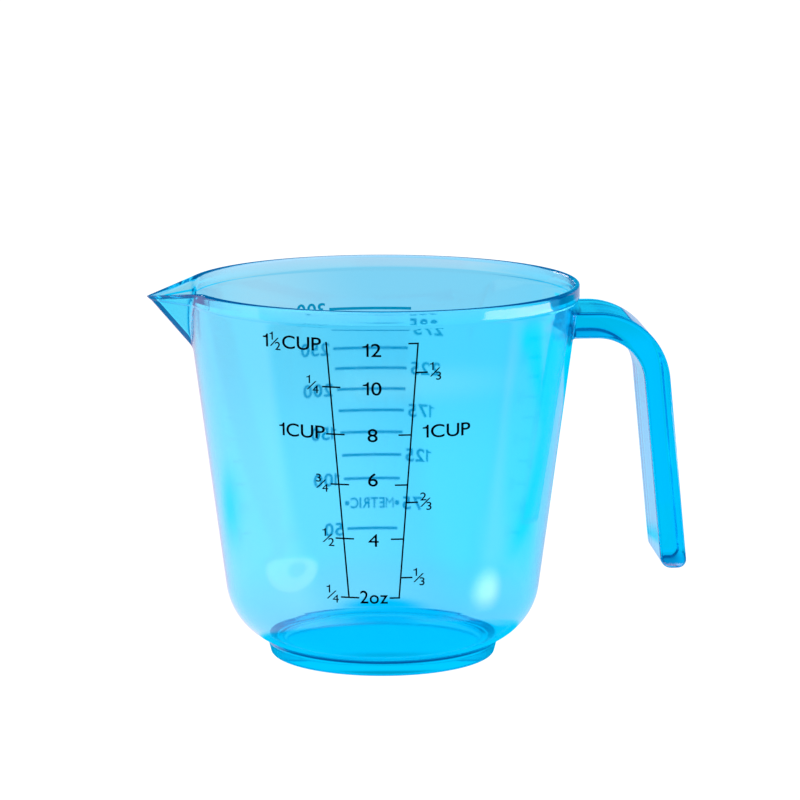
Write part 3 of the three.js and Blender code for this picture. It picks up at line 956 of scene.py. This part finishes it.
def field_share(tree, place, field):
    """How far a place lies inside a field of the table, from 0 to 1."""
    if isinstance(field, Joined):
        share, *others = [field_share(tree, place, part) for part in field.fields]
        for other in others:
            both = add_node(
                tree, "ShaderNodeMath", {"operation": field.operation}, links={0: share, 1: other})
            share = both.outputs["Value"]
        return share
    if isinstance(field, Edge):
        weighed = add_node(
            tree, "ShaderNodeVectorMath", {"operation": "DOT_PRODUCT"},
            {1: (field.weigh_x, field.weigh_y, 0)}, {0: place})
        reach, start, end = weighed.outputs["Value"], field.start, field.end
    else:
        local = add_node(
            tree, "ShaderNodeMapping", {"vector_type": "TEXTURE"},
            {
                "Location": (field.x, field.y, 0),
                "Rotation": (0, 0, math.radians(field.turn)),
                "Scale": (field.half_width, field.half_depth, 1),
            },
            {"Vector": place})
        disc = add_node(
            tree, "ShaderNodeTexGradient", {"gradient_type": "SPHERICAL"},
            links={"Vector": local.outputs["Vector"]})
        reach, start, end = disc.outputs["Fac"], 0.0, field.soft
    fade = add_node(
        tree, "ShaderNodeMapRange", {"interpolation_type": "SMOOTHSTEP"},
        {"From Min": start, "From Max": end}, {"Value": reach})
    return fade.outputs["Result"]


def table_light(stage, tree):
    """The table's light: pale, dimmer at the back, blue ahead, and tinted where the cup throws its light."""
    layers = (
        # Painted shade and the cup's painted tinted shadow, laid over the table's even light.
        Layer(BACK, stage.back_colour),
        Layer(HANDLE_HALF, stage.right_colour, blend="MULTIPLY"),
        Layer(PALE_BACK, stage.back_colour),
        Layer(THROWN, stage.thrown_colour),
        Layer(BEHIND_SPOUT, stage.thrown_colour),
        Layer(AHEAD, stage.front_colour),
        Layer(AHEAD_RIGHT, stage.thrown_colour),
        Layer(FAR_RIGHT, stage.front_colour),
        Layer(BESIDE_HANDLE, stage.thrown_colour),
        # Painted pools of light, which the plastic mirrors as a bright spot and a window-like highlight.
        Layer(RIGHT_SPOT, stage.table_colour, gain=4.5),
        Layer(LEFT_PATCH, stage.table_colour, gain=1.9),
        Layer(PATCH_MIDDLE, stage.table_colour),
        # Painted tinted shadow under the cup and behind its foot, darker under the front of the foot ring.
        Layer(UNDER_CUP, stage.under_colour),
        Layer(BEHIND_FOOT, stage.under_colour),
        Layer(FOOT_FRONT, stage.under_colour, gain=0.5),
    )
    place = add_node(tree, "ShaderNodeTexCoord").outputs["Object"]
    colour = add_node(tree, "ShaderNodeRGB").outputs["Color"]
    colour.default_value = (*linear(stage.table_colour), 1)
    for field, hex_colour, gain, blend in layers:
        mix = add_node(
            tree, "ShaderNodeMix", {"data_type": "RGBA", "blend_type": blend},
            {"B": (*[c * gain for c in linear(hex_colour)], 1)},
            {"Factor": field_share(tree, place, field), "A": colour})
        colour = mix.outputs["Result"]
    return colour


def build_table(stage):
    """The ground that the camera sees, and the table that the cup mirrors and refracts in its place."""
    ground_z, table_z = -0.2 * MM, -0.05 * MM
    # Matt white paper, evenly lit: a ground without a gleam, a shadow or a horizon.
    paper, _ = glowing("White_paper_ground", stage.ground_light)
    ground = add_sheet("ground", ground_z, paper)
    for kind in ("diffuse", "glossy", "transmission", "volume_scatter", "shadow"):
        setattr(ground, f"visible_{kind}", False)

    # An emissive sheet in place of the table, unseen by the camera: painted soft fields of light and painted
    # shade, the cup's tinted shadow among them, that show in the clear plastic.
    painted_table, glow = glowing("Table_painted_light_and_shade", stage.table_glow)
    painted_table.node_tree.links.new(table_light(stage, painted_table.node_tree), glow.inputs["Color"])
    table = add_sheet("table", table_z, painted_table)
    table.visible_camera = False


def add_panel(name, place, target, size, power):
    """A soft rectangular light that faces a point."""
    light = bpy.data.lights.new(name, "AREA")
    light.shape = "RECTANGLE"
    light.size, light.size_y = size
    light.energy = power
    panel = bpy.data.objects.new(name, light)
    bpy.context.scene.collection.objects.link(panel)
    panel.location = place
    panel.rotation_euler = (Vector(target) - Vector(place)).to_track_quat("-Z", "Y").to_euler()
    panel.visible_camera = False
    return panel


def build_lights(stage):
    """The room around the table, a low pad of light on the right and a card behind on the left."""
    world = bpy.data.worlds.new("Studio")
    bpy.context.scene.world = world
    world.use_nodes = True
    tree = world.node_tree
    place = add_node(tree, "ShaderNodeTexCoord")
    axes = add_node(tree, "ShaderNodeSeparateXYZ", links={"Vector": place.outputs["Generated"]})
    height = add_node(tree, "ShaderNodeValToRGB", links={"Fac": axes.outputs["Z"]})
    overhead = 0.6
    stops = ((0.0, stage.room_low), (overhead, stage.room_high))
    for stop, (position, hex_colour) in zip(height.color_ramp.elements, stops):
        stop.position = position
        stop.color = (*linear(hex_colour), 1)
    background = tree.nodes["Background"]
    background.inputs["Strength"].default_value = stage.room_light
    tree.links.new(height.outputs["Color"], background.inputs["Color"])

    pad = add_panel(
        "right_pad", place=(0.52, -0.085, 0.001), target=(0.52, -0.085, 1.0), size=(0.20, 0.50), power=1.25)
    pad.data.color = linear(stage.pad_colour)
    card = add_panel(
        "back_left_card", place=(-0.60, 0.9, 0.32), target=(AXIS_X, 0, 0.09), size=(0.5, 0.3), power=2.0)
    for panel in (pad, card):
        panel.visible_transmission = False


def build_camera(stage):
    """The camera at the photograph's viewing angle."""
    data = bpy.data.cameras.new("camera")
    data.sensor_width = 36
    data.lens = stage.camera_lens
    data.clip_end = 50
    camera = bpy.data.objects.new("camera", data)
    bpy.context.scene.collection.objects.link(camera)
    turn = stage.camera_turn
    camera.location = (
        AXIS_X - stage.camera_distance * math.sin(turn),
        -stage.camera_distance * math.cos(turn),
        stage.camera_height,
    )
    camera.rotation_euler = (math.pi / 2 - stage.camera_pitch, 0, -(turn + stage.camera_aim))
    bpy.context.scene.camera = camera
    bpy.context.scene.view_settings.view_transform = "Standard"


# Panel and registration

class CUP_PT_panel(bpy.types.Panel):
    """Sidebar panel with the cup's sizes, colours and building steps"""

    bl_idname = "CUP_PT_panel"
    bl_label = "Measuring Cup"
    bl_space_type = "VIEW_3D"
    bl_region_type = "UI"
    bl_category = "Measuring Cup"

    def draw(self, context):
        for group_name, group in GROUPS.items():
            box = self.layout.box()
            for name in group.__annotations__:
                box.prop(getattr(context.scene, group_name), name)
        for operator in OPERATORS:
            self.layout.operator(operator.bl_idname)


GROUPS = {"cup_sizes": CupSizes, "cup_print": PrintSizes, "cup_finish": CupFinish, "cup_stage": CupStage}
OPERATORS = (
    MOULDING_OT_build, PRINT_OT_ink_lines, PRINT_OT_ounce_figures, PRINT_OT_metric_figures, STAGE_OT_build)


def register():
    for group in GROUPS.values():
        bpy.utils.register_class(group)
    for name, group in GROUPS.items():
        setattr(bpy.types.Scene, name, PointerProperty(type=group))
    for operator in OPERATORS:
        bpy.utils.register_class(operator)
    bpy.utils.register_class(CUP_PT_panel)


def unregister():
    bpy.utils.unregister_class(CUP_PT_panel)
    for operator in reversed(OPERATORS):
        bpy.utils.unregister_class(operator)
    for name, group in GROUPS.items():
        delattr(bpy.types.Scene, name)
        bpy.utils.unregister_class(group)


def main():
    register()
    bpy.ops.cup.build_moulding()
    bpy.ops.cup.ink_lines()
    bpy.ops.cup.print_ounces()
    bpy.ops.cup.print_metric()
    bpy.ops.cup.build_stage()


if __name__ == "__main__":
    main()
